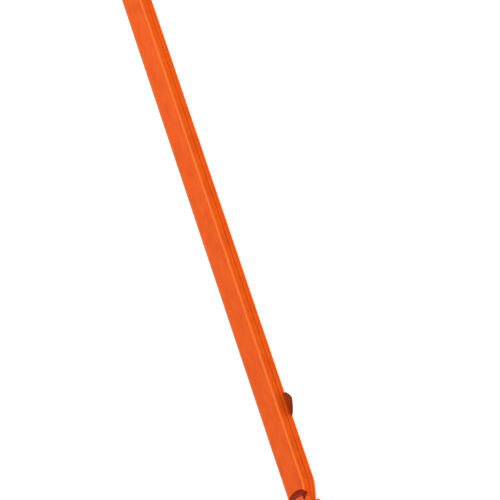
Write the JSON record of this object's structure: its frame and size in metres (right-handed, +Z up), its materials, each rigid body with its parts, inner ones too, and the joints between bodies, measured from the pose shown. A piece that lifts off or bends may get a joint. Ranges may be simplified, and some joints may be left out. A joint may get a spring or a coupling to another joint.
{
  "type": "windlass tourniquet",
  "caption": "Windlass tourniquet: orange webbing strap doubled through a buckle, with a rod, clip and plate that twist an inner band tight.",
  "frame": {"origin": "on the supporting surface, straight below the middle of the windlass", "axes": "+X along the strap towards the buckle, +Y across the strap towards the opening tab, +Z up through the windlass"},
  "size_m": [0.4982, 0.1123, 0.037],
  "materials": {
    "strap_weave": "hook-and-loop faced nylon webbing, rescue orange",
    "pull_band_weave": "flat woven nylon band, orange",
    "pocket_cloth": "woven nylon cloth, rescue orange",
    "rust_webbing": "folded narrow webbing, dark rust",
    "coated_tip": "dip-coated webbing end",
    "hook_tape": "hook tape, black",
    "loop_tape": "loop tape, black",
    "moulded_nylon": "glass-filled nylon, fine spark texture",
    "anodised_rod": "turned and black anodised",
    "cap_rubber": "moulded rubber",
    "pin_steel": "ground steel",
    "rivet_steel": "blackened steel",
    "time_webbing": "thin woven tape, off-white",
    "sewing_thread": "bonded polyester thread"
  },
  "bodies": {
    "strap_and_plate": {"strap_outer_ply": "strap_weave", "strap_inner_ply": "strap_weave", "inner_pull_band": "pull_band_weave", "strap_tail": "strap_weave", "tail_tip": "coated_tip", "tail_hook_patch": "hook_tape", "stabiliser_plate": "moulded_nylon", "band_guide": "moulded_nylon", "pocket_cover": "pocket_cloth", "mouth_binding": "rust_webbing", "pocket_bar_tacks": "sewing_thread", "windlass_clip": "moulded_nylon", "clip_rivets": "rivet_steel", "time_strap_anchor": "time_webbing", "time_strap_catch_patch": "loop_tape", "strap_end_loop": "strap_weave", "end_loop_stitching": "sewing_thread"},
    "windlass": {"windlass_rod": "anodised_rod", "rod_cap_front": "cap_rubber", "rod_cap_rear": "cap_rubber", "windlass_band_loop": "pull_band_weave"},
    "band_neck": {"band_riser": "pull_band_weave"},
    "time_flap": {"time_strap": "time_webbing", "time_strap_hook_patch": "hook_tape"},
    "buckle": {"buckle_frame": "moulded_nylon", "buckle_pin": "pin_steel", "strap_turn": "strap_weave"},
    "tab": {"opening_tab": "rust_webbing"}
  },
  "joints": [
    {"name": "windlass_seat", "type": "slide", "parent": "strap_and_plate", "child": "band_neck", "axis": [0, 0, 1], "range_m": [-0.011, 0], "deforming": ["band_riser"]},
    {"name": "windlass_twist", "type": "hinge", "parent": "band_neck", "child": "windlass", "pos_m": [0, 0, 0.031], "axis": [0, 0, 1], "continuous": true},
    {"name": "time_strap_fold", "type": "hinge", "parent": "strap_and_plate", "child": "time_flap", "pos_m": [0.048, -0.0244, 0.0124], "axis": [-1, 0, 0], "range_deg": [0, 140]},
    {"name": "buckle_tip_up", "type": "hinge", "parent": "strap_and_plate", "child": "buckle", "pos_m": [0.084, 0, 0.00985], "axis": [0, -1, 0], "range_deg": [0, 40]},
    {"name": "tab_flex", "type": "hinge", "parent": "strap_and_plate", "child": "tab", "pos_m": [-0.1216, 0.01925, 0.00105], "axis": [1, 0, 0], "range_deg": [0, 80]}
  ]
}
